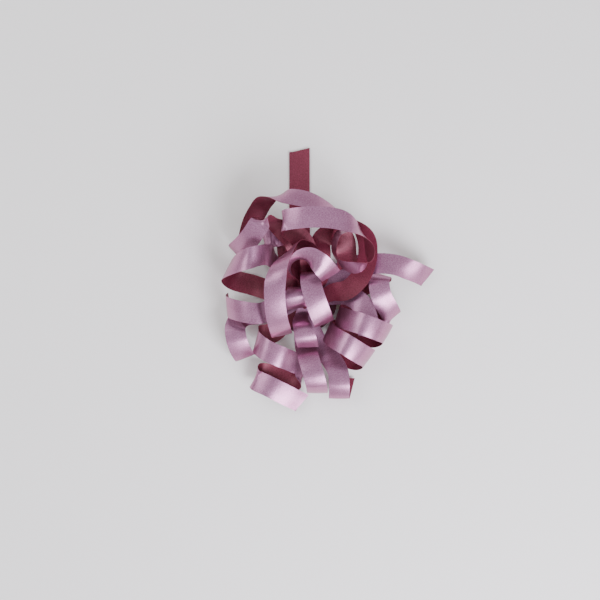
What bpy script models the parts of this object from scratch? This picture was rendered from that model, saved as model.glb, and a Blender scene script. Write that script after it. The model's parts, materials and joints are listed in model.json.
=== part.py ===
"""A pre-made gift bow of curled ribbon strands, stapled to a self-adhesive card base.

Frame: origin at the centre of the base's underside, +Z away from the gift, +X and +Y across it.
Lengths in the tables below are millimetres; everything is built in metres.
"""

import math

import bmesh
import bpy
import numpy as np
from mathutils import Vector

MM = 0.001

# Ribbon stock
RIBBON_WIDTH = 10.0
RIBBON_THICKNESS = 0.15
ROOT_WIDTH = 6.0
GATHER_LENGTH = 20.0
RIBBON_STEP = 2.6
TIP_SLANT = 2.4

# Base stack, from the gift upwards
LINER_RADIUS = 13.5
LINER_THICKNESS = 0.15
LINER_TAB_WIDTH = 9.0
LINER_TAB_LENGTH = 5.0
PAD_RADIUS = 12.5
PAD_THICKNESS = 1.2
PAD_POCKET = (6.4, 2.2)
CARD_RADIUS = 16.0
CARD_THICKNESS = 0.8
DISC_SIDES = 40
GAP = 0.3

PAD_BOTTOM = LINER_THICKNESS + GAP
CARD_BOTTOM = PAD_BOTTOM + PAD_THICKNESS + GAP
CARD_TOP = CARD_BOTTOM + CARD_THICKNESS

# Root tabs stacked on the card, pierced by one long staple
FIRST_TAB = CARD_TOP + GAP
TAB_PITCH = RIBBON_THICKNESS + GAP
TAB_BACK = 3.3
TAB_FLAT = 1.5
TAB_FRONT = 3.8
STAPLE_SPAN = 4.0
STAPLE_WIRE = 0.5
STAPLE_HOLE = STAPLE_WIRE + 2 * GAP
STAPLE_HOLE_SIDES = 8
CLINCH_LENGTH = 1.3

# Each strand: the heading of its root tab in degrees, then the centres its curl passes through, each
# with the direction across the ribbon there.  The glossy face is up where "across" is to the left
# of the run.  Strands are listed from the bottom of the root stack to the top.
STRANDS = {
    "flat_tail": (93, [
        ((-.9, 16, 3.25), (1, 0, 0)),
        ((-1.4, 22, 1.9), (1, 0, 0)),
        ((-2, 30, .5), (1, 0, 0)),
        ((-2.2, 42, .35), (1, 0, 0)),
        ((-2.2, 57, .35), (1, 0, 0)),
        ((-2.2, 73, .5), (1, 0, 0)),
    ]),
    "right_tail": (37, [
        ((12, 9.5, 3.6), (-.6, .8, 0)),
        ((23, 16, 4.2), (-.3, .95, 0)),
        ((32, 17.2, 13.6), (0, .95, -.15)),
        ((38, 17.6, 15), (.1, .97, -.15)),
        ((45, 16.6, 14.8), (.22, .96, -.12)),
        ((51, 14.4, 12.4), (.33, .91, .2)),
        ((56.5, 12.3, 8.7), (.33, .88, .34)),
        ((60, 10.8, 4.6), (.33, .89, .3)),
    ]),
    "right_coil": (6, [
        ((14, 2, 4.4), (.1, -1, 0)),
        ((25, 5.2, 4.4), (.3, -.95, 0)),
        ((32.5, 9.2, 3.6), (.5, -.8, 0)),
        ((37.7, 11.6, 6), (.8, -.5, 0)),
        ((37, 12, 11), (.95, -.1, 0)),
        ((36, 8.5, 14.5), (.97, .2, 0)),
        ((37.2, 1.5, 14.6), (.94, .34, 0)),
        ((41.4, -5.8, 9.8), (.87, .45, 0)),
        ((42.6, -9.2, 5), (.7, .7, 0)),
        ((36.6, -9, 1.8), (.5, .86, 0)),
        ((24, -6, 1.2), (.35, .93, 0)),
        ((16, -7.4, 9), (.3, .95, 0)),
        ((19.5, -9, 19.5), (.3, .95, 0)),
        ((27.5, -11.4, 26), (.34, .94, 0)),
        ((36, -14.7, 22.5), (.4, .9, 0)),
        ((40.3, -16.8, 13), (.5, .86, 0)),
        ((35, -18.4, 4), (.5, .86, 0)),
        ((22, -16.6, 1.2), (.4, .9, 0)),
        ((11.6, -14, 8), (.4, .9, 0)),
        ((13.2, -17.2, 17.5), (.4, .9, 0)),
        ((20, -21.3, 24), (.45, .88, 0)),
        ((27.5, -26, 20), (.55, .83, 0)),
        ((31.3, -28.5, 11), (.6, .8, 0)),
        ((26.5, -29.4, 3.5), (.55, .83, 0)),
        ((17.5, -27.2, 1.2), (.5, .86, 0)),
    ]),
    "left_coil": (142, [
        ((-11, 10, 4.6), (-.7, -.7, 0)),
        ((-14, 17, 10.5), (-.1, -1, 0)),
        ((-17, 21.5, 20.5), (-.2, -.98, 0)),
        ((-26, 19.8, 26), (-.3, -.95, 0)),
        ((-34, 16.5, 21), (-.4, -.9, 0)),
        ((-37.5, 13.5, 12), (-.45, -.88, 0)),
        ((-34, 9.8, 3.5), (-.35, -.93, 0)),
        ((-24, 7, 1.6), (-.15, -.98, 0)),
        ((-15, 3.2, 8), (0, -1, 0)),
        ((-14.5, -3, 18), (0, -1, 0)),
        ((-21, -6.3, 24.5), (.1, -1, 0)),
        ((-30, -5.4, 23.5), (.1, -1, 0)),
        ((-37, -3.2, 15), (.1, -1, 0)),
        ((-36, -1, 6), (.1, -1, 0)),
    ]),
    "right_front_hook": (-72, [
        ((3.4, -12, 4.7), (1, .3, 0)),
        ((6.2, -20, 4.2), (.9, .4, 0)),
        ((12.5, -27.7, 8), (.95, .25, 0)),
        ((16.3, -34.5, 11.5), (1, .1, 0)),
        ((17, -42, 11.5), (1, 0, 0)),
        ((17, -47.7, 6.5), (1, 0, 0)),
        ((17.6, -46, 1.8), (1, -.1, 0)),
        ((19.6, -38, 1.2), (.95, -.3, 0)),
    ]),
    "lower_left_coil": (-130, [
        ((-8.5, -10.3, 4.6), (-.75, .65, 0)),
        ((-15.5, -16, 4.2), (-.2, 1, 0)),
        ((-21.6, -17.4, 6), (.2, 1, 0)),
        ((-23, -20, 11.5), (.25, .97, 0)),
        ((-18.6, -23.8, 17), (.3, .95, 0)),
        ((-11, -27.3, 16.5), (.35, .93, 0)),
        ((-5, -30, 10.8), (.35, .93, 0)),
        ((-1, -32.3, 8), (.4, .9, 0)),
        ((-.8, -37.5, 4.8), (.5, .85, 0)),
        ((-6, -39.6, 2), (.45, .88, 0)),
        ((-14, -36.8, 1.4), (.4, .9, 0)),
        ((-21.5, -35.6, 3.5), (.3, .95, 0)),
        ((-23.6, -38.3, 8), (.4, .9, 0)),
        ((-17, -41.6, 11), (.5, .86, 0)),
        ((-9, -45.8, 9), (.55, .83, 0)),
        ((-1, -50, 4), (.55, .83, 0)),
    ]),
    "left_hook": (203, [
        ((-12, -5.2, 5.8), (.2, -1, 0)),
        ((-22, -6.6, 4.9), (.2, -1, 0)),
        ((-29.5, -8, 7.5), (.6, -.8, 0)),
        ((-33, -12.5, 12), (1, -.1, 0)),
        ((-32.6, -18.5, 13), (1, .1, 0)),
        ((-30.8, -24, 10.5), (.95, .25, 0)),
        ((-28.5, -27.8, 6), (.93, .35, 0)),
        ((-27.6, -27.8, 3), (.93, .35, 0)),
    ]),
    "low_front_hook": (-92, [
        ((-.8, -12, 7), (1, 0, 0)),
        ((.2, -20.5, 8.5), (1, .1, 0)),
        ((2, -27, 15), (1, .2, 0)),
        ((4.2, -34.5, 18), (.98, .2, 0)),
        ((6, -41.5, 15.5), (.98, .1, 0)),
        ((6.5, -45, 8.5), (1, 0, 0)),
        ((6.1, -43, 3.5), (1, 0, 0)),
    ]),
    "left_inner_curl": (112, [
        ((-4.5, 13.5, 7.2), (.9, .4, 0)),
        ((-7.6, 22, 8.5), (.9, .3, 0)),
        ((-8.6, 27.2, 10.8), (.8, -.3, .2)),
        ((-11, 30, 13), (.3, -.9, .1)),
        ((-14.8, 30.4, 14), (-.2, -.97, 0)),
        ((-18.4, 27.4, 12.8), (-.35, -.93, 0)),
        ((-20.8, 22.5, 10), (-.35, -.93, 0)),
    ]),
    "side_strand": (-4, [
        ((13, 1.5, 7.6), (.1, 1, 0)),
        ((21, 2.4, 9.6), (.2, 1, 0)),
        ((27.5, -2, 12), (.6, .8, 0)),
        ((30.5, -9, 13), (1, .2, 0)),
        ((31, -18, 13), (1, .1, 0)),
    ]),
    "upper_left_curl": (99, [
        ((-2, 9, 7.5), (1, .1, 0)),
        ((-2.4, 17, 12), (1, .1, 0)),
        ((-4, 26.5, 17), (.85, .5, 0)),
        ((-9.5, 33, 20.3), (.4, .8, .3)),
        ((-15.2, 36.8, 22.5), (.35, .45, .8)),
        ((-19.3, 38, 24.5), (.8, .3, .4)),
        ((-21.5, 35.5, 25.5), (.85, -.4, 0)),
        ((-25, 30.5, 23), (.85, -.5, 0)),
        ((-29, 26.2, 17.5), (.75, -.65, 0)),
        ((-33, 22.7, 9), (.7, -.7, 0)),
        ((-31.5, 21.3, 3), (.6, -.8, 0)),
    ]),
    "inner_arch": (50, [
        ((6.4, 7.5, 8), (.8, -.5, 0)),
        ((8, 13, 12), (.9, -.3, 0)),
        ((7.8, 21.5, 15.5), (1, 0, 0)),
        ((8.5, 28.6, 17.5), (.7, -.65, .2)),
        ((14, 32, 17.5), (0, -1, .1)),
        ((19.3, 29, 14), (-.9, -.4, .1)),
        ((20.3, 22, 10.4), (-1, -.1, 0)),
        ((21.3, 16, 11.4), (-1, 0, 0)),
    ]),
    "crown_curl": (5, [
        ((7.5, .8, 8.4), (.1, -1, 0)),
        ((14, 3.7, 11.8), (.1, -1, 0)),
        ((20.5, 4.8, 13), (.4, -.85, .3)),
        ((27.2, 11.2, 14.5), (.75, -.5, .4)),
        ((30.4, 20.5, 17), (.85, .1, .45)),
        ((29.5, 30, 19.5), (.75, .3, .55)),
        ((23, 37.5, 21.5), (.3, .1, .95)),
        ((12, 43, 24), (-.1, -.6, .8)),
        ((2, 47.5, 24), (-.1, -.8, .6)),
        ((-8, 49.5, 22), (0, -.7, .7)),
        ((-14.7, 49.3, 18.5), (-.4, 0, .9)),
        ((-19, 47.4, 15), (-.55, .45, .7)),
        ((-21.8, 43.8, 11.5), (-.85, .3, .45)),
        ((-24.8, 38, 8), (-.95, .1, .2)),
        ((-27, 30, 4.5), (-1, .1, 0)),
    ]),
    "ring_curl": (84, [
        ((.6, 9, 8.9), (1, 0, 0)),
        ((1, 17, 15), (1, 0, 0)),
        ((.6, 25.5, 20), (.8, .6, 0)),
        ((-3.5, 31, 22.5), (.3, .95, 0)),
        ((-9, 35.2, 25), (.1, 1, 0)),
        ((-10, 37.3, 28.5), (.05, 1, 0)),
        ((-3, 38.6, 32), (0, 1, 0)),
        ((8, 39, 32.5), (-.05, 1, 0)),
        ((18, 37.5, 31.5), (-.1, .95, -.2)),
        ((26.5, 32.3, 30), (-.25, .6, -.75)),
        ((31, 25.5, 28.5), (-.4, .1, -.9)),
        ((30.4, 18.7, 27.5), (-.35, -.3, -.88)),
        ((24.5, 15.2, 26.5), (0, -.53, -.85)),
        ((17.2, 17.5, 25.5), (.2, -.4, -.9)),
        ((14.2, 23.5, 24.5), (-.2, -.1, -.97)),
        ((15.8, 31, 23.5), (-.3, .1, -.95)),
        ((20.5, 34.5, 22.5), (-.2, .4, -.9)),
    ]),
    "s_strand": (74, [
        ((2, 8, 10.4), (1, -.1, 0)),
        ((3, 15, 18.5), (1, 0, 0)),
        ((2, 24, 24.5), (.8, .2, .4)),
        ((-2.6, 27.4, 28.5), (.3, .2, .9)),
        ((-6.3, 23.6, 30.5), (.25, 0, .95)),
        ((-11.2, 16.7, 34), (.7, -.1, .7)),
        ((-13.6, 8, 35.5), (.97, 0, .1)),
        ((-13.7, -1, 34), (1, 0, 0)),
        ((-12.7, -9, 30), (1, .1, 0)),
        ((-11.2, -14.6, 24), (.97, .2, 0)),
        ((-10.5, -17, 18), (.95, .3, 0)),
    ]),
    "front_hook": (-97, [
        ((-.8, -6, 9.7), (1, .1, 0)),
        ((-1.7, -9.5, 14.5), (1, .1, 0)),
        ((-.5, -14, 18.5), (.98, .2, 0)),
        ((1, -19, 18), (.98, .15, 0)),
        ((2, -22.6, 14), (1, .1, 0)),
    ]),
    "arch_loop": (140, [
        ((-4.4, 3.8, 10.3), (.7, .7, 0)),
        ((-6.8, 8.6, 16), (.85, .2, .3)),
        ((-7.4, 13.5, 23), (.6, -.1, .75)),
        ((-5.2, 17.8, 28), (0, .1, .99)),
        ((-1.3, 20.2, 31.5), (.05, .5, .85)),
        ((3.5, 20, 34), (.3, .8, .5)),
        ((7.3, 17.4, 35), (.5, .8, .3)),
        ((10.6, 13.8, 32.5), (.72, .65, .1)),
        ((12.8, 11.3, 27), (.75, .6, 0)),
    ]),
    "centre_loop": (50, [
        ((3.9, 4.6, 11.1), (.8, -.6, 0)),
        ((5.6, 9, 15), (.9, -.3, 0)),
        ((5.4, 12.8, 20), (1, 0, 0)),
        ((3.6, 13, 25), (1, .1, 0)),
        ((3.2, 8.5, 28), (.97, .15, -.2)),
        ((4.6, 2.5, 29), (.95, .25, 0)),
        ((6.8, -4, 27.5), (.93, .35, 0)),
        ((9, -9.5, 23.5), (.9, .45, 0)),
        ((9.8, -11.4, 18.5), (.9, .45, 0)),
    ]),
    "short_loop": (104, [
        ((-2.2, 5, 15), (1, .1, 0)),
        ((-3.6, 6.5, 20), (1, .1, 0)),
        ((-4, 2.5, 23), (1, .15, 0)),
        ((-3.3, -2, 20.5), (.97, .25, 0)),
        ((-2.8, -3.8, 16), (.97, .25, 0)),
    ]),
}

STACK_TOP = FIRST_TAB + len(STRANDS) * TAB_PITCH

COLOURS = {
    "ribbon": (0.38, 0.21, 0.33),
    "card": (0.15, 0.04, 0.07),
    "foam": (0.85, 0.85, 0.83),
    "liner": (0.90, 0.88, 0.82),
    "steel": (0.70, 0.70, 0.72),
}


def clear_scene():
    for thing in list(bpy.data.objects):
        bpy.data.objects.remove(thing, do_unlink=True)


def collection(name):
    made = bpy.data.collections.new(name)
    bpy.context.scene.collection.children.link(made)
    return made


def material(name, colour, roughness, metallic=0.0):
    made = bpy.data.materials.new(name)
    made.use_nodes = True
    shader = made.node_tree.nodes["Principled BSDF"]
    shader.inputs["Base Color"].default_value = (*colour, 1.0)
    shader.inputs["Roughness"].default_value = roughness
    shader.inputs["Metallic"].default_value = metallic
    return made


def add_object(name, data, group, finish=None):
    made = bpy.data.objects.new(name, data)
    group.objects.link(made)
    if finish:
        data.materials.append(finish)
    return made


def mesh_from(bm, name):
    mesh = bpy.data.meshes.new(name)
    bm.to_mesh(mesh)
    bm.free()
    return mesh


def mark_as_cutter(thing):
    thing.hide_render = True
    thing.display_type = "WIRE"


def cut(target, cutter):
    modifier = target.modifiers.new("Cut " + cutter.name, "BOOLEAN")
    modifier.operation = "DIFFERENCE"
    modifier.solver = "EXACT"
    modifier.object = cutter


def root_stations(level, heading):
    """The flat tab at the strand's root, centred over the card on its own level of the stack."""
    z = FIRST_TAB + level * TAB_PITCH + RIBBON_THICKNESS / 2
    angle = math.radians(heading)
    run = np.array([math.cos(angle), math.sin(angle), 0.0])
    across = np.array([-run[1], run[0], 0.0])
    spots = [run * along + (0, 0, z) for along in (-TAB_BACK, -TAB_FLAT, TAB_FLAT, TAB_FRONT)]
    return [(spot, across) for spot in spots]


def mix(a, b, start, end, now):
    return a + (b - a) * (now - start) / (end - start)


def spline_row(rows, knots, i, share):
    """One row between rows i and i + 1 of a centripetal Catmull-Rom spline."""
    t0, t1, t2, t3 = knots[i - 1:i + 3]
    now = t1 + (t2 - t1) * share
    before = mix(rows[i - 1], rows[i], t0, t1, now)
    middle = mix(rows[i], rows[i + 1], t1, t2, now)
    after = mix(rows[i + 1], rows[i + 2], t2, t3, now)
    return mix(mix(before, middle, t0, t2, now), mix(middle, after, t1, t3, now), t1, t2, now)


def smooth_run(rows, step):
    """A smooth run through the rows, read about every step millimetres of their first three columns."""
    rows = np.array([2 * rows[0] - rows[1], *rows, 2 * rows[-1] - rows[-2]])
    spans = np.linalg.norm(np.diff(rows[:, :3], axis=0), axis=1)
    knots = np.concatenate([[0], np.cumsum(spans ** 0.5)])
    run = []
    for i in range(1, len(rows) - 2):
        pieces = max(1, round(spans[i] / step))
        run += [spline_row(rows, knots, i, k / pieces) for k in range(pieces)]
    return np.array([*run, rows[-2]])


def units(vectors):
    return vectors / np.linalg.norm(vectors, axis=-1, keepdims=True)


def ribbon_edges(level, heading, stations, step=RIBBON_STEP):
    """The strand's two long edges, as arrays of points in millimetres."""
    root = root_stations(level, heading)
    turn = 1 if np.dot(root[0][1], stations[0][1]) >= 0 else -1
    path = [(spot, turn * across) for spot, across in root] + stations
    rows = [np.concatenate([spot, units(np.array(across, float))]) for spot, across in path]
    run = smooth_run(rows, step)
    centres = run[:, :3]
    tangent = units(np.gradient(centres, axis=0))
    across = run[:, 3:] - tangent * np.sum(run[:, 3:] * tangent, axis=1, keepdims=True)
    along = np.cumsum(np.linalg.norm(np.diff(centres, axis=0, prepend=centres[:1]), axis=1))
    flare = np.clip((along - TAB_BACK - TAB_FRONT) / GATHER_LENGTH, 0, 1)
    flare = flare * flare * (3 - 2 * flare)
    half = units(across) * (ROOT_WIDTH + (RIBBON_WIDTH - ROOT_WIDTH) * flare)[:, None] / 2
    low = centres - half
    high = centres + half
    low[-1] -= tangent[-1] * TIP_SLANT / 2
    high[-1] += tangent[-1] * TIP_SLANT / 2
    return low, high


def strand_mesh(name, low, high):
    """A flat strip of grid faces, bent so that its long edges follow low and high."""
    segments = len(low) - 1
    bm = bmesh.new()
    bmesh.ops.create_grid(bm, x_segments=segments, y_segments=1, size=1.0)
    for corner in bm.verts:
        edge = high if corner.co.y > 0 else low
        corner.co = Vector(edge[round((corner.co.x + 1) / 2 * segments)]) * MM
    return mesh_from(bm, name)


def add_strand(name, level, heading, stations, group, holes):
    """A ribbon strand; its origin is on the staple's axis, which it can swivel about."""
    low, high = ribbon_edges(level, heading, stations)
    finish = material(name + "_ribbon", COLOURS["ribbon"], 0.32)
    strand = add_object(name, strand_mesh(name, low, high), group, finish)
    strand.data.shade_smooth()
    solidify = strand.modifiers.new("Thickness", "SOLIDIFY")
    solidify.thickness = RIBBON_THICKNESS * MM
    solidify.offset = 0.0
    for hole in holes:
        cut(strand, hole)


def disc(name, radius, thickness, sides=DISC_SIDES):
    bm = bmesh.new()
    size = {"radius1": radius * MM, "radius2": radius * MM, "depth": thickness * MM}
    bmesh.ops.create_cone(bm, cap_ends=True, segments=sides, **size)
    return mesh_from(bm, name)


def add_staple_holes(group):
    """Two upright cutters, through the whole root stack and the card."""
    depth = STACK_TOP - CARD_BOTTOM + 2 * GAP
    holes = []
    for side, name in ((-1, "staple_hole_left"), (1, "staple_hole_right")):
        hole = add_object(name, disc(name, STAPLE_HOLE / 2, depth, STAPLE_HOLE_SIDES), group)
        hole.location = Vector((side * STAPLE_SPAN / 2, 0, CARD_BOTTOM - GAP + depth / 2)) * MM
        mark_as_cutter(hole)
        holes.append(hole)
    return holes


def add_card(group, holes):
    finish = material("card", COLOURS["card"], 0.8)
    card = add_object("base_card", disc("base_card", CARD_RADIUS, CARD_THICKNESS), group, finish)
    card.location.z = (CARD_BOTTOM + CARD_THICKNESS / 2) * MM
    for hole in holes:
        cut(card, hole)


def add_pad(group, cutters):
    """The foam pad, with a slot right through it for the staple's clinched ends."""
    finish = material("foam", COLOURS["foam"], 0.9)
    pad = add_object("adhesive_pad", disc("adhesive_pad", PAD_RADIUS, PAD_THICKNESS), group, finish)
    pad.location.z = (PAD_BOTTOM + PAD_THICKNESS / 2) * MM
    bm = bmesh.new()
    bmesh.ops.create_cube(bm, size=MM)
    pocket = add_object("staple_pocket", mesh_from(bm, "staple_pocket"), cutters)
    pocket.location = pad.location
    pocket.scale = (*PAD_POCKET, PAD_THICKNESS + 2 * GAP)
    mark_as_cutter(pocket)
    cut(pad, pocket)


def liner_outline():
    """The liner seen from above, from its hinge edge at x = 0: round, with a square tab at +X."""
    reach = math.asin(LINER_TAB_WIDTH / 2 / LINER_RADIUS)
    turns = np.linspace(reach, 2 * math.pi - reach, DISC_SIDES - 7)
    rim = [(LINER_RADIUS * (1 + math.cos(a)), LINER_RADIUS * math.sin(a)) for a in turns]
    end = LINER_RADIUS + CARD_RADIUS + LINER_TAB_LENGTH
    return rim + [(end, -LINER_TAB_WIDTH / 2), (end, LINER_TAB_WIDTH / 2)]


def add_liner(group):
    """The release liner; its origin is on the edge that it peels about."""
    outline = liner_outline()
    curve = bpy.data.curves.new("release_liner", "CURVE")
    curve.dimensions = "2D"
    curve.fill_mode = "BOTH"
    curve.extrude = LINER_THICKNESS / 2 * MM
    spline = curve.splines.new("POLY")
    spline.points.add(len(outline) - 1)
    for point, (x, y) in zip(spline.points, outline):
        point.co = (x * MM, y * MM, 0, 1)
    spline.use_cyclic_u = True
    liner = add_object("release_liner", curve, group, material("liner_paper", COLOURS["liner"], 0.7))
    liner.location = (-LINER_RADIUS * MM, 0, LINER_THICKNESS / 2 * MM)


def add_staple(group):
    """One wire: crown on top of the root stack, two legs through it, and ends clinched under the card."""
    top = STACK_TOP + STAPLE_WIRE / 2
    bottom = CARD_BOTTOM - GAP - STAPLE_WIRE / 2
    half = STAPLE_SPAN / 2
    end = half - CLINCH_LENGTH
    route = [(-end, bottom), (-half, bottom), (-half, top), (half, top), (half, bottom), (end, bottom)]
    curve = bpy.data.curves.new("staple", "CURVE")
    curve.dimensions = "3D"
    curve.bevel_depth = STAPLE_WIRE / 2 * MM
    curve.bevel_resolution = 2
    curve.use_fill_caps = True
    spline = curve.splines.new("POLY")
    spline.points.add(len(route) - 1)
    for point, (x, z) in zip(spline.points, route):
        point.co = (x * MM, 0, z * MM, 1)
    add_object("staple", curve, group, material("steel", COLOURS["steel"], 0.3, 1.0))


def main():
    clear_scene()
    parts = collection("gift_bow")
    cutters = collection("cutters")
    holes = add_staple_holes(cutters)
    add_liner(parts)
    add_pad(parts, cutters)
    add_card(parts, holes)
    add_staple(parts)
    for level, (name, (heading, stations)) in enumerate(STRANDS.items()):
        add_strand(name, level, heading, stations, parts, holes)


main()
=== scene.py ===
"""Looks of a curled-ribbon gift bow: pearly lilac outside, wine inside painted darker as shade, on a
stapled base.
"""

import json
import math

import bmesh
import bpy
import numpy as np
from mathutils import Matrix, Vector


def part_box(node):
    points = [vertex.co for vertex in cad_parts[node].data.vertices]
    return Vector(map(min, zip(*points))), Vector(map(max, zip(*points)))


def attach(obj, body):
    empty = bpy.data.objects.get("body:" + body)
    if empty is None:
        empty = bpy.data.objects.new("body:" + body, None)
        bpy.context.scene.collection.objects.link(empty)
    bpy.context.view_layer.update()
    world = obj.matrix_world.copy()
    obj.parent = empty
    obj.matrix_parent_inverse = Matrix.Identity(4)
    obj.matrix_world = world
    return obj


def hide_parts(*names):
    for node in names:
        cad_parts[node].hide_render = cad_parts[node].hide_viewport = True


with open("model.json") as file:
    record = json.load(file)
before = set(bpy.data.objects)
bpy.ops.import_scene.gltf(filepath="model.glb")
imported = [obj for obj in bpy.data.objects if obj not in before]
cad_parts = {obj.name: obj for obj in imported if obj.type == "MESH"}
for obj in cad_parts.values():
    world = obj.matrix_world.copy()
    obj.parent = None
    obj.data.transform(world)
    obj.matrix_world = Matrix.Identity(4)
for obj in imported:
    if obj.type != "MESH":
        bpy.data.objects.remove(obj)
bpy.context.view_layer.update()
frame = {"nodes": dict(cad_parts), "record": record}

MM = 0.001

# Ribbon stock, in millimetres
RIBBON_WIDTH = 10.0
RIBBON_THICKNESS = 0.15
ROOT_WIDTH = 6.0
GATHER_LENGTH = 20.0
TIP_SLANT = 2.4

# Cross-section, in millimetres: how far the ribbon's edges bend away from its glossy side, and the
# pleats of its gathered root.  CUP_MEAN keeps the cupped strip at the same height on average.
CUPPING = 0.22
CUP_MEAN = 0.33
PLEAT_DEPTH = 0.07
PLEATS = 3

# Fineness of the strips: millimetres from one row to the next, columns, and what counts as a fold
RIBBON_STEP = 0.8
RIBBON_COLUMNS = 8
SHARP_ANGLE = math.radians(40)

# Root tabs stacked on the card, with how far each reaches behind and in front of the middle, and
# the long staple through them, in millimetres.  The hole cutters go a few tabs past the stack.
GAP = 0.3
CARD_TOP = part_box("base_card")[1][2] / MM
FIRST_TAB = CARD_TOP + GAP
TAB_PITCH = RIBBON_THICKNESS + GAP
TAB_BACK = 3.3
TAB_FLAT = 1.5
TAB_FRONT = 3.8
STAPLE_SPAN = 4.0
STAPLE_WIRE = 0.5
STAPLE_HOLE = STAPLE_WIRE + 2 * GAP
HOLE_SIDES = 16
TABS_OVER_STACK = 4

# Camera: straight above the gift, framed as wide as this at the gift's surface, in metres
CAMERA_HEIGHT = 0.9
CAMERA_NEAR = 0.01
FRAME_WIDTH = 0.2927
FRAME_CENTRE = (-0.00195, 0.0)

# Studio: two soft square lights, an even pale surround and a floor, in metres and watts
LIGHTS = {
    "key": {"place": (0.36, -0.48, 0.50), "size": 0.45, "power": 9.5, "colour": (0.94, 0.91, 1.0)},
    "fill": {"place": (-0.5, 0.3, 0.6), "size": 0.5, "power": 2.0, "colour": (1, 1, 1)},
}
WORLD_COLOUR = (1.0, 0.97, 0.98, 1)
WORLD_STRENGTH = 0.80
FLOOR_REACH = 1.5
FLOOR_DROP = 0.0002

# Every colour is linear: red, green, blue and alpha
PEARL = {
    "name": "pearl_ribbon",
    "deep": (0.285, 0.11, 0.205, 1),
    "light": (0.53, 0.27, 0.43, 1),
    # painted shade: the rose that the outside takes where it is seen edge-on, on the steep sides of
    # the curls
    "painted_grazing_colour": (0.42, 0.12, 0.20, 1),
    "roughness": 0.32,
    "gloss": {
        "Metallic": 0.8,
        "Coat Weight": 0.35,
        "Coat Roughness": 0.32,
        "Coat Tint": (0.93, 0.86, 1.0, 1),
    },
}
# The inside face: a redder film than the outside, painted darker still as the shade that falls
# inside the curls
WINE_WITH_PAINTED_SHADE = {
    "name": "wine_ribbon_painted_shade",
    "deep": (0.12, 0.011, 0.028, 1),
    "light": (0.26, 0.036, 0.078, 1),
    # painted grazing colour: a lighter red where the inside is seen edge-on
    "painted_grazing_colour": (0.24, 0.045, 0.085, 1),
    "roughness": 0.42,
    "gloss": {"Metallic": 0.35, "Coat Weight": 0.08, "Coat Roughness": 0.35},
}

# Base and floor: grains is about how many specks there are in a metre, and bump_depth is in metres
BASE_FINISHES = {
    # The card's dark wine is painted shade: the colour of the shade seen through the gaps between
    # the ribbons
    "base_card": {
        "name": "paperboard_painted_shade",
        "dark": (0.10, 0.025, 0.045, 1),
        "light": (0.18, 0.05, 0.085, 1),
        "grains": 900,
        "roughness": 0.85,
        "bump_depth": 0.00005,
    },
    "adhesive_pad": {
        "name": "foam",
        "dark": (0.66, 0.66, 0.64, 1),
        "light": (0.80, 0.80, 0.78, 1),
        "grains": 1500,
        "roughness": 0.85,
        "bump_depth": 0.00015,
    },
    "release_liner": {
        "name": "liner",
        "dark": (0.74, 0.70, 0.58, 1),
        "light": (0.82, 0.79, 0.68, 1),
        "grains": 250,
        "roughness": 0.45,
        "bump_depth": 0.00002,
    },
    "staple": {
        "name": "steel",
        "dark": (0.50, 0.50, 0.52, 1),
        "light": (0.62, 0.62, 0.64, 1),
        "grains": 2500,
        "roughness": 0.28,
        "bump_depth": 0.00001,
        "metallic": 1.0,
    },
}
FLOOR_FINISH = {
    "name": "pale_floor",
    "dark": (0.95, 0.95, 0.945, 1),
    "light": (0.97, 0.97, 0.965, 1),
    "grains": 40,
    "roughness": 0.7,
    "bump_depth": 0.00001,
}
SPECK_DETAIL = 5.0
SPECK_BUMP = 0.4
SPECK_ROUGHNESS_SPREAD = 0.08

# The ribbon's three grains, as scales across and along it: fine lines, mottle and slow clouds
LINES = (6.0, 0.3)
MOTTLE = (2.6, 1.3)
CLOUDS = (0.25, 0.06)
GRAIN_DETAIL = 3.0

# How strongly mottle and clouds move the ribbon's colour, and how the grain shapes its surface
MOTTLE_CONTRAST = 2.2
CLOUD_CONTRAST = 0.7
CLOUD_SHIFT = -0.95
MOTTLE_SHARE = 0.6
# How widely the painted grazing colour spreads over the ribbon as it turns edge-on
PAINTED_GRAZING_BLEND = 0.35
ROUGHNESS_SPREAD = 0.1
RIBBON_BUMP = 0.5
RIBBON_BUMP_DEPTH = 0.00012

# A Mix node's sockets for each kind of data: factor, first, second and result
MIX_SOCKETS = {"FLOAT": (0, 2, 3, 0), "RGBA": (0, 6, 7, 2)}

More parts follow.
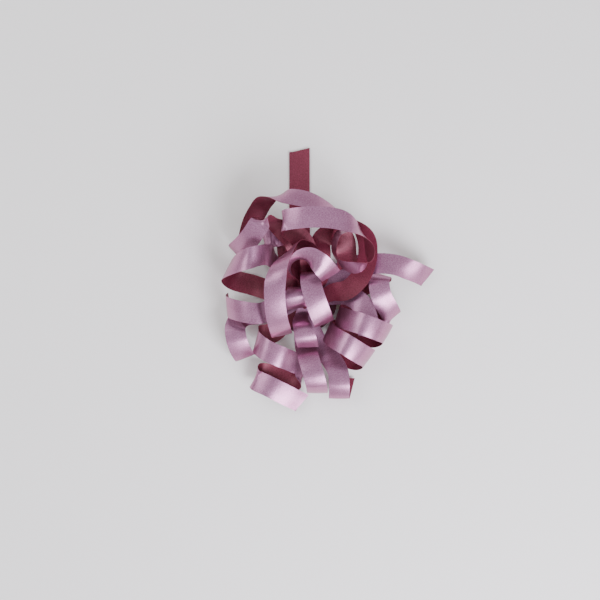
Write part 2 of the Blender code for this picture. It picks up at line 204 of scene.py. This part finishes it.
# Each strand: the heading of its root tab in degrees, then the centres its curl passes through, in
# millimetres, each with the direction across the ribbon there.  The glossy face is up where that
# direction is to the left of the run.  Strands are listed from the bottom of the root stack up.
STRANDS = {
    "flat_tail": (93, [
        ((-.9, 16, 3.25), (1, 0, 0)),
        ((-1.4, 22, 1.9), (1, 0, 0)),
        ((-2, 30, .5), (1, 0, 0)),
        ((-2.2, 42, .35), (1, 0, 0)),
        ((-2.2, 57, .35), (1, 0, 0)),
        ((-2.2, 73, .5), (1, 0, 0)),
    ]),
    "right_tail": (37, [
        ((12, 9.5, 3.6), (-.6, .8, 0)),
        ((23, 16, 4.2), (-.3, .95, 0)),
        ((32, 17.2, 13.6), (0, .95, -.15)),
        ((38, 17.6, 15), (.1, .97, -.15)),
        ((45, 16.6, 14.8), (.22, .96, -.12)),
        ((51, 14.4, 12.4), (.33, .91, .2)),
        ((56.5, 12.3, 8.7), (.33, .88, .34)),
        ((60, 10.8, 4.6), (.33, .89, .3)),
    ]),
    "right_coil": (6, [
        ((14, 2, 4.4), (.1, -1, 0)),
        ((25, 5.2, 4.4), (.3, -.95, 0)),
        ((32.5, 9.2, 3.6), (.5, -.8, 0)),
        ((37.7, 11.6, 6), (.8, -.5, 0)),
        ((37, 12, 11), (.95, -.1, 0)),
        ((36, 8.5, 14.5), (.97, .2, 0)),
        ((37.2, 1.5, 14.6), (.94, .34, 0)),
        ((41.4, -5.8, 9.8), (.87, .45, 0)),
        ((42.6, -9.2, 5), (.7, .7, 0)),
        ((36.6, -9, 1.8), (.5, .86, 0)),
        ((24, -6, 1.2), (.35, .93, 0)),
        ((16, -7.4, 9), (.3, .95, 0)),
        ((19.5, -9, 19.5), (.3, .95, 0)),
        ((27.5, -11.4, 26), (.34, .94, 0)),
        ((36, -14.7, 22.5), (.4, .9, 0)),
        ((40.3, -16.8, 13), (.5, .86, 0)),
        ((35, -18.4, 4), (.5, .86, 0)),
        ((22, -16.6, 1.2), (.4, .9, 0)),
        ((11.6, -14, 8), (.4, .9, 0)),
        ((13.2, -17.2, 17.5), (.4, .9, 0)),
        ((20, -21.3, 24), (.45, .88, 0)),
        ((27.5, -26, 20), (.55, .83, 0)),
        ((31.3, -28.5, 11), (.6, .8, 0)),
        ((26.5, -29.4, 3.5), (.55, .83, 0)),
        ((17.5, -27.2, 1.2), (.5, .86, 0)),
    ]),
    "left_coil": (142, [
        ((-11, 10, 4.6), (-.7, -.7, 0)),
        ((-14, 17, 10.5), (-.1, -1, 0)),
        ((-17, 21.5, 20.5), (-.2, -.98, 0)),
        ((-26, 19.8, 26), (-.3, -.95, 0)),
        ((-34, 16.5, 21), (-.4, -.9, 0)),
        ((-37.5, 13.5, 12), (-.45, -.88, 0)),
        ((-34, 9.8, 3.5), (-.35, -.93, 0)),
        ((-24, 7, 1.6), (-.15, -.98, 0)),
        ((-15, 3.2, 8), (0, -1, 0)),
        ((-14.5, -3, 18), (0, -1, 0)),
        ((-21, -6.3, 24.5), (.1, -1, 0)),
        ((-30, -5.4, 23.5), (.1, -1, 0)),
        ((-37, -3.2, 15), (.1, -1, 0)),
        ((-36, -1, 6), (.1, -1, 0)),
    ]),
    "right_front_hook": (-72, [
        ((3.4, -12, 4.7), (1, .3, 0)),
        ((6.2, -20, 4.2), (.9, .4, 0)),
        ((12.5, -27.7, 8), (.95, .25, 0)),
        ((16.3, -34.5, 11.5), (1, .1, 0)),
        ((17, -42, 11.5), (1, 0, 0)),
        ((17, -47.7, 6.5), (1, 0, 0)),
        ((17.6, -46, 1.8), (1, -.1, 0)),
        ((19.6, -38, 1.2), (.95, -.3, 0)),
    ]),
    "lower_left_coil": (-130, [
        ((-8.5, -10.3, 4.6), (-.75, .65, 0)),
        ((-15.5, -16, 4.2), (-.2, 1, 0)),
        ((-21.6, -17.4, 6), (.2, 1, 0)),
        ((-23, -20, 11.5), (.25, .97, 0)),
        ((-18.6, -23.8, 17), (.3, .95, 0)),
        ((-11, -27.3, 16.5), (.35, .93, 0)),
        ((-5, -30, 10.8), (.35, .93, 0)),
        ((-1, -32.3, 8), (.4, .9, 0)),
        ((-.8, -37.5, 4.8), (.5, .85, 0)),
        ((-6, -39.6, 2), (.45, .88, 0)),
        ((-14, -36.8, 1.4), (.4, .9, 0)),
        ((-21.5, -35.6, 3.5), (.3, .95, 0)),
        ((-23.6, -38.3, 8), (.4, .9, 0)),
        ((-17, -41.6, 11), (.5, .86, 0)),
        ((-9, -45.8, 9), (.55, .83, 0)),
        ((-1, -50, 4), (.55, .83, 0)),
    ]),
    "left_hook": (203, [
        ((-12, -5.2, 5.8), (.2, -1, 0)),
        ((-22, -6.6, 4.9), (.2, -1, 0)),
        ((-29.5, -8, 7.5), (.6, -.8, 0)),
        ((-33, -12.5, 12), (1, -.1, 0)),
        ((-32.6, -18.5, 13), (1, .1, 0)),
        ((-30.8, -24, 10.5), (.95, .25, 0)),
        ((-28.5, -27.8, 6), (.93, .35, 0)),
        ((-27.6, -27.8, 3), (.93, .35, 0)),
    ]),
    "low_front_hook": (-92, [
        ((-.8, -12, 7), (1, 0, 0)),
        ((.2, -20.5, 8.5), (1, .1, 0)),
        ((2, -27, 15), (1, .2, 0)),
        ((4.2, -34.5, 18), (.98, .2, 0)),
        ((6, -41.5, 15.5), (.98, .1, 0)),
        ((6.5, -45, 8.5), (1, 0, 0)),
        ((6.1, -43, 3.5), (1, 0, 0)),
    ]),
    "left_inner_curl": (112, [
        ((-4.5, 13.5, 7.2), (.9, .4, 0)),
        ((-7.6, 22, 8.5), (.9, .3, 0)),
        ((-8.6, 27.2, 10.8), (.8, -.3, .2)),
        ((-11, 30, 13), (.3, -.9, .1)),
        ((-14.8, 30.4, 14), (-.2, -.97, 0)),
        ((-18.4, 27.4, 12.8), (-.35, -.93, 0)),
        ((-20.8, 22.5, 10), (-.35, -.93, 0)),
    ]),
    "side_strand": (-4, [
        ((13, 1.5, 7.6), (.1, 1, 0)),
        ((21, 2.4, 9.6), (.2, 1, 0)),
        ((27.5, -2, 12), (.6, .8, 0)),
        ((30.5, -9, 13), (1, .2, 0)),
        ((31, -18, 13), (1, .1, 0)),
    ]),
    "upper_left_curl": (99, [
        ((-2, 9, 7.5), (1, .1, 0)),
        ((-2.4, 17, 12), (1, .1, 0)),
        ((-4, 26.5, 17), (.85, .5, 0)),
        ((-9.5, 33, 20.3), (.4, .8, .3)),
        ((-15.2, 36.8, 22.5), (.35, .45, .8)),
        ((-19.3, 38, 24.5), (.8, .3, .4)),
        ((-21.5, 35.5, 25.5), (.85, -.4, 0)),
        ((-25, 30.5, 23), (.85, -.5, 0)),
        ((-29, 26.2, 17.5), (.75, -.65, 0)),
        ((-33, 22.7, 9), (.7, -.7, 0)),
        ((-31.5, 21.3, 3), (.6, -.8, 0)),
    ]),
    "inner_arch": (50, [
        ((6.4, 7.5, 8), (.8, -.5, 0)),
        ((8, 13, 12), (.9, -.3, 0)),
        ((7.8, 21.5, 15.5), (1, 0, 0)),
        ((8.5, 28.6, 17.5), (.7, -.65, .2)),
        ((14, 32, 17.5), (0, -1, .1)),
        ((19.3, 29, 14), (-.9, -.4, .1)),
        ((20.3, 22, 10.4), (-1, -.1, 0)),
        ((21.3, 16, 11.4), (-1, 0, 0)),
    ]),
    "crown_curl": (5, [
        ((7.5, .8, 8.4), (.1, -1, 0)),
        ((14, 3.7, 11.8), (.1, -1, 0)),
        ((20.5, 4.8, 13), (.4, -.85, .3)),
        ((27.2, 11.2, 14.5), (.75, -.5, .4)),
        ((30.4, 20.5, 17), (.85, .1, .45)),
        ((29.5, 30, 19.5), (.75, .3, .55)),
        ((23, 37.5, 21.5), (.3, .1, .95)),
        ((12, 43, 24), (-.1, -.6, .8)),
        ((2, 47.5, 24), (-.1, -.8, .6)),
        ((-8, 49.5, 22), (0, -.7, .7)),
        ((-14.7, 49.3, 18.5), (-.4, 0, .9)),
        ((-19, 47.4, 15), (-.55, .45, .7)),
        ((-21.8, 43.8, 11.5), (-.85, .3, .45)),
        ((-24.8, 38, 8), (-.95, .1, .2)),
        ((-27, 30, 4.5), (-1, .1, 0)),
    ]),
    "ring_curl": (84, [
        ((.6, 9, 8.9), (1, 0, 0)),
        ((1, 17, 15), (1, 0, 0)),
        ((.6, 25.5, 20), (.8, .6, 0)),
        ((-3.5, 31, 22.5), (.3, .95, 0)),
        ((-9, 35.2, 25), (.1, 1, 0)),
        ((-10, 37.3, 28.5), (.05, 1, 0)),
        ((-3, 38.6, 32), (0, 1, 0)),
        ((8, 39, 32.5), (-.05, 1, 0)),
        ((18, 37.5, 31.5), (-.1, .95, -.2)),
        ((26.5, 32.3, 30), (-.25, .6, -.75)),
        ((31, 25.5, 28.5), (-.4, .1, -.9)),
        ((30.4, 18.7, 27.5), (-.35, -.3, -.88)),
        ((24.5, 15.2, 26.5), (0, -.53, -.85)),
        ((17.2, 17.5, 25.5), (.2, -.4, -.9)),
        ((14.2, 23.5, 24.5), (-.2, -.1, -.97)),
        ((15.8, 31, 23.5), (-.3, .1, -.95)),
        ((20.5, 34.5, 22.5), (-.2, .4, -.9)),
    ]),
    "s_strand": (74, [
        ((2, 8, 10.4), (1, -.1, 0)),
        ((3, 15, 18.5), (1, 0, 0)),
        ((2, 24, 24.5), (.8, .2, .4)),
        ((-2.6, 27.4, 28.5), (.3, .2, .9)),
        ((-6.3, 23.6, 30.5), (.25, 0, .95)),
        ((-11.2, 16.7, 34), (.7, -.1, .7)),
        ((-13.6, 8, 35.5), (.97, 0, .1)),
        ((-13.7, -1, 34), (1, 0, 0)),
        ((-12.7, -9, 30), (1, .1, 0)),
        ((-11.2, -14.6, 24), (.97, .2, 0)),
        ((-10.5, -17, 18), (.95, .3, 0)),
    ]),
    "front_hook": (-97, [
        ((-.8, -6, 9.7), (1, .1, 0)),
        ((-1.7, -9.5, 14.5), (1, .1, 0)),
        ((-.5, -14, 18.5), (.98, .2, 0)),
        ((1, -19, 18), (.98, .15, 0)),
        ((2, -22.6, 14), (1, .1, 0)),
    ]),
    "arch_loop": (140, [
        ((-4.4, 3.8, 10.3), (.7, .7, 0)),
        ((-6.8, 8.6, 16), (.85, .2, .3)),
        ((-7.4, 13.5, 23), (.6, -.1, .75)),
        ((-5.2, 17.8, 28), (0, .1, .99)),
        ((-1.3, 20.2, 31.5), (.05, .5, .85)),
        ((3.5, 20, 34), (.3, .8, .5)),
        ((7.3, 17.4, 35), (.5, .8, .3)),
        ((10.6, 13.8, 32.5), (.72, .65, .1)),
        ((12.8, 11.3, 27), (.75, .6, 0)),
    ]),
    "centre_loop": (50, [
        ((3.9, 4.6, 11.1), (.8, -.6, 0)),
        ((5.6, 9, 15), (.9, -.3, 0)),
        ((5.4, 12.8, 20), (1, 0, 0)),
        ((3.6, 13, 25), (1, .1, 0)),
        ((3.2, 8.5, 28), (.97, .15, -.2)),
        ((4.6, 2.5, 29), (.95, .25, 0)),
        ((6.8, -4, 27.5), (.93, .35, 0)),
        ((9, -9.5, 23.5), (.9, .45, 0)),
        ((9.8, -11.4, 18.5), (.9, .45, 0)),
    ]),
    "short_loop": (104, [
        ((-2.2, 5, 15), (1, .1, 0)),
        ((-3.6, 6.5, 20), (1, .1, 0)),
        ((-4, 2.5, 23), (1, .15, 0)),
        ((-3.3, -2, 20.5), (.97, .25, 0)),
        ((-2.8, -3.8, 16), (.97, .25, 0)),
    ]),
}


def root_stations(level, heading):
    """The flat tab at the strand's root, centred over the card on its own level of the stack."""
    z = FIRST_TAB + level * TAB_PITCH + RIBBON_THICKNESS / 2
    angle = math.radians(heading)
    run = np.array([math.cos(angle), math.sin(angle), 0.0])
    across = np.array([-run[1], run[0], 0.0])
    spots = [run * along + (0, 0, z) for along in (-TAB_BACK, -TAB_FLAT, TAB_FLAT, TAB_FRONT)]
    return [(spot, across) for spot in spots]


def mix(a, b, start, end, now):
    """From a at start to b at end, in a straight line."""
    return a + (b - a) * (now - start) / (end - start)


def spline_row(rows, knots, i, share):
    """One row between rows i and i + 1 of a centripetal Catmull-Rom spline."""
    t0, t1, t2, t3 = knots[i - 1:i + 3]
    now = t1 + (t2 - t1) * share
    before = mix(rows[i - 1], rows[i], t0, t1, now)
    middle = mix(rows[i], rows[i + 1], t1, t2, now)
    after = mix(rows[i + 1], rows[i + 2], t2, t3, now)
    return mix(mix(before, middle, t0, t2, now), mix(middle, after, t1, t3, now), t1, t2, now)


def smooth_run(rows, step):
    """A smooth run through the rows, read about every step millimetres of their first columns."""
    rows = np.array([2 * rows[0] - rows[1], *rows, 2 * rows[-1] - rows[-2]])
    spans = np.linalg.norm(np.diff(rows[:, :3], axis=0), axis=1)
    knots = np.concatenate([[0], np.cumsum(spans ** 0.5)])
    run = []
    for i in range(1, len(rows) - 2):
        pieces = max(1, round(spans[i] / step))
        run += [spline_row(rows, knots, i, k / pieces) for k in range(pieces)]
    return np.array([*run, rows[-2]])


def units(vectors):
    """The vectors at unit length."""
    return vectors / np.linalg.norm(vectors, axis=-1, keepdims=True)


def run_lengths(centres):
    """How far along the run each centre is."""
    return np.cumsum(np.linalg.norm(np.diff(centres, axis=0, prepend=centres[:1]), axis=1))


def ribbon_edges(level, heading, stations):
    """The strand's two long edges, in millimetres: narrow at the root, cut at a slant at the tip."""
    root = root_stations(level, heading)
    turn = 1 if np.dot(root[0][1], stations[0][1]) >= 0 else -1
    path = [(spot, turn * across) for spot, across in root] + stations
    rows = [np.concatenate([spot, units(np.array(across, float))]) for spot, across in path]
    run = smooth_run(rows, RIBBON_STEP)
    centres = run[:, :3]
    tangent = units(np.gradient(centres, axis=0))
    across = run[:, 3:] - tangent * np.sum(run[:, 3:] * tangent, axis=1, keepdims=True)
    along = run_lengths(centres)
    flare = np.clip((along - TAB_BACK - TAB_FRONT) / GATHER_LENGTH, 0, 1)
    flare = flare * flare * (3 - 2 * flare)
    half = units(across) * (ROOT_WIDTH + (RIBBON_WIDTH - ROOT_WIDTH) * flare)[:, None] / 2
    low = centres - half
    high = centres + half
    low[-1] -= tangent[-1] * TIP_SLANT / 2
    high[-1] += tangent[-1] * TIP_SLANT / 2
    return low, high


def new_material(name):
    """A material, a function that adds a node to it, and one that sets its shader's inputs."""
    made = bpy.data.materials.new(name)
    made.use_nodes = True
    tree = made.node_tree

    def feed(inputs, values):
        for key, value in values.items():
            if isinstance(value, bpy.types.NodeSocket):
                tree.links.new(value, inputs[key])
            else:
                inputs[key].default_value = value

    def node(kind, values, **settings):
        new = tree.nodes.new("ShaderNode" + kind)
        for key, value in settings.items():
            setattr(new, key, value)
        feed(new.inputs, values)
        return new.outputs

    def shade(values):
        feed(tree.nodes["Principled BSDF"].inputs, values)

    return made, node, shade


def mixed(node, kind, share, first, second):
    """Between first and second, by share. Each may be a value or a socket."""
    factor_in, first_in, second_in, result = MIX_SOCKETS[kind]
    values = {factor_in: share, first_in: first, second_in: second}
    return node("Mix", values, data_type=kind)[result]


def scaled(node, value, factor, added):
    """The value times the factor, plus what is added. Each may be a number or a socket."""
    return node("Math", {0: value, 1: factor, 2: added}, operation="MULTIPLY_ADD")["Value"]


def spread(node, grain, middle, reach):
    """A roughness that follows the grain, as far as reach to each side of middle."""
    limits = {"To Min": middle - reach, "To Max": middle + reach}
    return node("MapRange", {"Value": grain, **limits})["Result"]


def ribbon_grain(node, scales):
    """Noise on the ribbon's own UV map, which is in millimetres across and along it."""
    place = node("UVMap", {}, uv_map="ribbon")["UV"]
    stretched = node("Mapping", {"Vector": place, "Scale": (*scales, 1)})["Vector"]
    return node("TexNoise", {"Vector": stretched, "Scale": 1.0, "Detail": GRAIN_DETAIL})["Fac"]


def ribbon_material(name, deep, light, painted_grazing_colour, roughness, gloss):
    """Satin film: fine lines, mottle, slow changes of tone, and a painted colour at grazing angles,
    which on the pearl side is painted shade.
    """
    made, node, shade = new_material(name)
    lines = ribbon_grain(node, LINES)
    mottle = ribbon_grain(node, MOTTLE)
    clouds = ribbon_grain(node, CLOUDS)
    slow = scaled(node, clouds, CLOUD_CONTRAST, CLOUD_SHIFT)
    body = mixed(node, "RGBA", scaled(node, mottle, MOTTLE_CONTRAST, slow), deep, light)
    # The grazing colour is painted where the ribbon is seen edge-on, on the steep sides of the
    # curls: painted shade on the pearl side, a lighter red on the wine side
    facing = node("LayerWeight", {"Blend": PAINTED_GRAZING_BLEND})["Facing"]
    grain = mixed(node, "FLOAT", MOTTLE_SHARE, lines, mottle)
    relief = {"Height": grain, "Strength": RIBBON_BUMP, "Distance": RIBBON_BUMP_DEPTH}
    shade({"Base Color": mixed(node, "RGBA", facing, body, painted_grazing_colour)})
    shade({"Roughness": spread(node, grain, roughness, ROUGHNESS_SPREAD)})
    shade({"Normal": node("Bump", relief)["Normal"]})
    shade(gloss)
    return made


def speckled_material(name, dark, light, grains, roughness, bump_depth, metallic=0.0):
    """Card, foam, paper, steel or floor: a speckled colour, with relief that follows it."""
    made, node, shade = new_material(name)
    place = node("TexCoord", {})["Object"]
    specks = {"Vector": place, "Scale": grains, "Detail": SPECK_DETAIL}
    grain = node("TexNoise", specks)["Fac"]
    relief = {"Height": grain, "Strength": SPECK_BUMP, "Distance": bump_depth}
    shade({"Base Color": mixed(node, "RGBA", grain, dark, light), "Metallic": metallic})
    shade({"Roughness": spread(node, grain, roughness, SPECK_ROUGHNESS_SPREAD)})
    shade({"Normal": node("Bump", relief)["Normal"]})
    return made


def strip_mesh(name, low, high):
    """A fine strip between two long edges, cupped and pleated, with its length in millimetres."""
    segments = len(low) - 1
    centres = (low + high) / 2
    tangent = units(np.gradient(centres, axis=0))
    across = units(high - low)
    outward = units(np.cross(tangent, across))
    width = np.linalg.norm(high - low, axis=1)
    along = run_lengths(centres)
    gathered = np.clip((RIBBON_WIDTH - width) / (RIBBON_WIDTH - ROOT_WIDTH), 0, 1)
    bm = bmesh.new()
    ribbon_uv = bm.loops.layers.uv.new("ribbon")
    bmesh.ops.create_grid(bm, x_segments=segments, y_segments=RIBBON_COLUMNS, size=1.0)
    stations = {}
    for corner in bm.verts:
        i = round((corner.co.x + 1) / 2 * segments)
        stations[corner] = i, corner.co.y
    for corner, (i, side) in stations.items():
        cup = CUPPING * (1 - gathered[i]) * (CUP_MEAN - side * side)
        pleat = PLEAT_DEPTH * gathered[i] * math.cos(PLEATS * math.pi * side)
        share = (side + 1) / 2
        corner.co = Vector(low[i] + (high[i] - low[i]) * share + outward[i] * (cup + pleat)) * MM
    for face in bm.faces:
        for loop in face.loops:
            i, side = stations[loop.vert]
            loop[ribbon_uv].uv = (side * RIBBON_WIDTH / 2, along[i])
    return finished_mesh(name, bm), along[-1]


def finished_mesh(name, bm):
    """A mesh made from the bmesh, which is freed."""
    mesh = bpy.data.meshes.new(name)
    bm.to_mesh(mesh)
    bm.free()
    return mesh


def add_object(name, data):
    """A new object that shows the data, in the scene."""
    made = bpy.data.objects.new(name, data)
    bpy.context.scene.collection.objects.link(made)
    return made


def hole_cutters():
    """Two round pins, one for each leg of the staple, from the card up through the stack."""
    cutters = []
    radius = STAPLE_HOLE / 2 * MM
    depth = (len(STRANDS) + TABS_OVER_STACK) * TAB_PITCH
    for side in (-1, 1):
        bm = bmesh.new()
        size = {"radius1": radius, "radius2": radius, "depth": depth * MM}
        bmesh.ops.create_cone(bm, cap_ends=True, segments=HOLE_SIDES, **size)
        cutter = add_object("hole", finished_mesh("hole", bm))
        cutter.location = Vector((side * STAPLE_SPAN / 2, 0, CARD_TOP + depth / 2)) * MM
        cutters.append(cutter)
    return cutters


def thicken(piece):
    """Gives the strip its thickness, with the first finish outside and the second inside."""
    solidify = piece.modifiers.new("Thickness", "SOLIDIFY")
    solidify.thickness = RIBBON_THICKNESS * MM
    solidify.offset = 0.0
    solidify.material_offset = 1
    solidify.material_offset_rim = 1


def pierce(piece, cutters):
    """Cuts the staple's holes."""
    for cutter in cutters:
        cut = piece.modifiers.new("Hole", "BOOLEAN")
        cut.operation = "DIFFERENCE"
        cut.solver = "EXACT"
        cut.object = cutter


def settle(piece):
    """Makes the piece's modifiers real, and keeps its folded edges crisp."""
    bpy.context.view_layer.update()
    evaluated = piece.evaluated_get(bpy.context.evaluated_depsgraph_get())
    solid = bpy.data.meshes.new_from_object(evaluated)
    piece.modifiers.clear()
    piece.data = solid
    solid.shade_smooth()
    solid.set_sharp_from_angle(angle=SHARP_ANGLE)


def body_of_node(node):
    """The name of the CAD body that holds the node."""
    bodies = frame["record"]["behaviour"]["bodies"]
    return next(body for body, nodes in bodies.items() if node in nodes)


def add_strand(name, level, heading, stations, finishes, cutters):
    """One ribbon in the place of its plain CAD solid, resting on the one below it in the stack."""
    low, high = ribbon_edges(level, heading, stations)
    mesh, length = strip_mesh(name, low, high)
    for finish in finishes:
        mesh.materials.append(finish)
    piece = add_object("ribbon_" + name, mesh)
    thicken(piece)
    pierce(piece, cutters)
    settle(piece)
    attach(piece, body_of_node(name))
    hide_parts(name)


def add_strands():
    """All the ribbons, from the bottom of the root stack to the top."""
    finishes = (ribbon_material(**PEARL), ribbon_material(**WINE_WITH_PAINTED_SHADE))
    cutters = hole_cutters()
    for level, (name, (heading, stations)) in enumerate(STRANDS.items()):
        add_strand(name, level, heading, stations, finishes, cutters)
    for cutter in cutters:
        bpy.data.objects.remove(cutter, do_unlink=True)


def finish_base():
    """The card, pad, liner and staple keep their CAD shapes and get their surfaces; the card's dark
    wine is painted shade.
    """
    for node, finish in BASE_FINISHES.items():
        mesh = frame["nodes"][node].data
        mesh.materials.clear()
        mesh.materials.append(speckled_material(**finish))


def add_floor():
    """A plain pale floor, just under the liner."""
    bm = bmesh.new()
    bmesh.ops.create_grid(bm, x_segments=1, y_segments=1, size=FLOOR_REACH)
    floor = add_object("floor", finished_mesh("floor", bm))
    floor.data.materials.append(speckled_material(**FLOOR_FINISH))
    floor.location.z = -FLOOR_DROP


def add_light(name, place, size, power, colour):
    """A soft square light aimed at the middle of the bow."""
    light = bpy.data.lights.new(name, "AREA")
    light.size = size
    light.energy = power
    light.color = colour
    lamp = add_object(name, light)
    lamp.location = place
    lamp.rotation_euler = (-Vector(place)).to_track_quat("-Z", "Y").to_euler()


def add_camera():
    """The view straight down on the bow."""
    camera = bpy.data.cameras.new("camera")
    camera.lens = camera.sensor_width * CAMERA_HEIGHT / FRAME_WIDTH
    camera.clip_start = CAMERA_NEAR
    eye = add_object("camera", camera)
    eye.location = (*FRAME_CENTRE, CAMERA_HEIGHT)
    bpy.context.scene.camera = eye


def add_world():
    """An even pale surround, which the ribbons' gloss picks up."""
    world = bpy.data.worlds.new("studio")
    world.use_nodes = True
    surround = world.node_tree.nodes["Background"].inputs
    surround["Color"].default_value = WORLD_COLOUR
    surround["Strength"].default_value = WORLD_STRENGTH
    bpy.context.scene.world = world


add_strands()
finish_base()
add_floor()
for lamp_name, lamp_settings in LIGHTS.items():
    add_light(lamp_name, **lamp_settings)
add_camera()
add_world()
